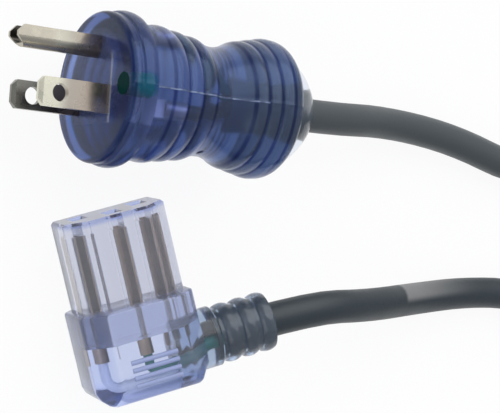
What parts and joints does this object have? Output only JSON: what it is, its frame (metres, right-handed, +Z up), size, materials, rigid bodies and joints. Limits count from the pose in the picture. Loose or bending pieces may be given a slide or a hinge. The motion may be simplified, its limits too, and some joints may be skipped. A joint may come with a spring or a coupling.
{
  "type": "type b plug with cord",
  "caption": "See-through moulded grounded plug with flat blades and a ground pin, on a coiled grey cord that ends in a clear right-angle appliance connector.",
  "frame": {"origin": "on the table, below the middle of the plug's box, which runs from the ground pin's tip to the tail of the plug body", "axes": "+X along the plug from its blades to its cord, +Y from the blades towards the ground pin, +Z up from the table"},
  "size_m": [0.3248, 0.0904, 0.0352],
  "materials": {
    "plug_plastic": "see-through blue moulding",
    "bridge_plastic": "see-through pale blue moulding",
    "plated_blades": "nickel plated",
    "green_peg": "moulded green",
    "black_insulation": "extruded",
    "white_insulation": "extruded",
    "green_insulation": "extruded",
    "grey_jacket": "smooth extruded jacket",
    "tie_strap": "flat strap",
    "clear_plastic": "clear moulding",
    "insert_plastic": "clear moulding",
    "contact_brass": "bare stamped strip"
  },
  "bodies": {
    "root": {"plug_body": "plug_plastic", "blade_bridge": "bridge_plastic", "line_blade": "plated_blades", "neutral_blade": "plated_blades", "ground_pin": "plated_blades", "green_dot": "green_peg", "plug_line_wire": "black_insulation", "plug_neutral_wire": "white_insulation", "plug_ground_wire": "green_insulation", "cord_plug_run": "grey_jacket", "cord_coil": "grey_jacket", "cord_connector_run": "grey_jacket", "coil_tie_plug_side": "tie_strap", "coil_tie_connector_side": "tie_strap", "connector_body": "clear_plastic", "contact_insert": "insert_plastic", "line_contact": "contact_brass", "neutral_contact": "contact_brass", "earth_contact": "contact_brass", "connector_line_wire": "black_insulation", "connector_neutral_wire": "white_insulation", "connector_earth_wire": "green_insulation"}
  },
  "joints": []
}
